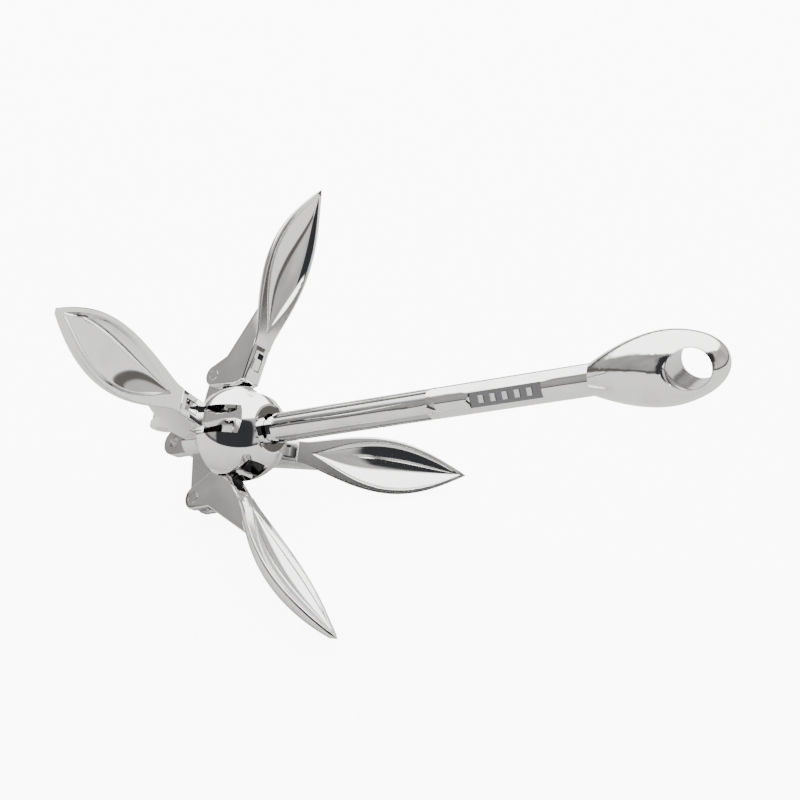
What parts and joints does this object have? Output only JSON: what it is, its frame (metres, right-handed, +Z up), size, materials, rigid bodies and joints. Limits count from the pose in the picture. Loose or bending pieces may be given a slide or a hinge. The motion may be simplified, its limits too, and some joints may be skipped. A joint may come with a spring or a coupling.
{
  "type": "folding grapnel anchor",
  "caption": "Polished stainless folding grapnel anchor: ribbed shank with a teardrop head eye, sliding ball collar, and spoon-palmed flukes hinged on a crown.",
  "frame": {"origin": "on the ground, under the middle of the anchor's box as it stands on the two lower flukes", "axes": "+Z up, +X the way the head points over the ground, +Y across"},
  "size_m": [0.3636, 0.2662, 0.2133],
  "materials": {
    "shank_steel": "mirror-polished cast stainless steel, satin in the recessed panel",
    "crown_steel": "polished cast stainless steel, duller in the corners",
    "collar_steel": "mirror-polished cast stainless steel",
    "fluke_steel": "mirror-polished palms and polished arm cheeks",
    "pin_steel": "turned stainless pin, ends dressed flush"
  },
  "bodies": {
    "shank": {"shank": "shank_steel", "crown": "crown_steel", "crown_pin": "pin_steel", "pivot_pin_upper_left": "pin_steel", "pivot_pin_upper_right": "pin_steel", "pivot_pin_lower_right": "pin_steel", "pivot_pin_lower_left": "pin_steel"},
    "collar": {"collar": "collar_steel"},
    "fluke_upper_left": {"fluke_upper_left": "fluke_steel"},
    "fluke_upper_right": {"fluke_upper_right": "fluke_steel"},
    "fluke_lower_right": {"fluke_lower_right": "fluke_steel"},
    "fluke_lower_left": {"fluke_lower_left": "fluke_steel"}
  },
  "joints": [
    {"name": "collar_slide", "type": "slide", "parent": "shank", "child": "collar", "axis": [0.8896, 0, 0.4567], "range_m": [0, 0.128]},
    {"name": "fold_upper_left", "type": "hinge", "parent": "shank", "child": "fluke_upper_left", "pos_m": [-0.15492, 0.03253, 0.06927], "axis": [0.3229, 0.7071, -0.629], "range_deg": [0, 66.7]},
    {"name": "fold_upper_right", "type": "hinge", "parent": "shank", "child": "fluke_upper_right", "pos_m": [-0.15492, -0.03253, 0.06927], "axis": [-0.3229, 0.7071, 0.629], "range_deg": [0, 66.7]},
    {"name": "fold_lower_right", "type": "hinge", "parent": "shank", "child": "fluke_lower_right", "pos_m": [-0.12521, -0.03253, 0.0114], "axis": [-0.3229, -0.7071, 0.629], "range_deg": [0, 39.3]},
    {"name": "fold_lower_left", "type": "hinge", "parent": "shank", "child": "fluke_lower_left", "pos_m": [-0.12521, 0.03253, 0.0114], "axis": [0.3229, -0.7071, -0.629], "range_deg": [0, 39.3]}
  ],
  "couplings": [
    {"joint": "fold_upper_left", "follows": "collar_slide", "rad_per_m": 9.0948},
    {"joint": "fold_upper_right", "follows": "collar_slide", "rad_per_m": 9.0948},
    {"joint": "fold_lower_right", "follows": "collar_slide", "rad_per_m": 5.3587},
    {"joint": "fold_lower_left", "follows": "collar_slide", "rad_per_m": 5.3587}
  ]
}
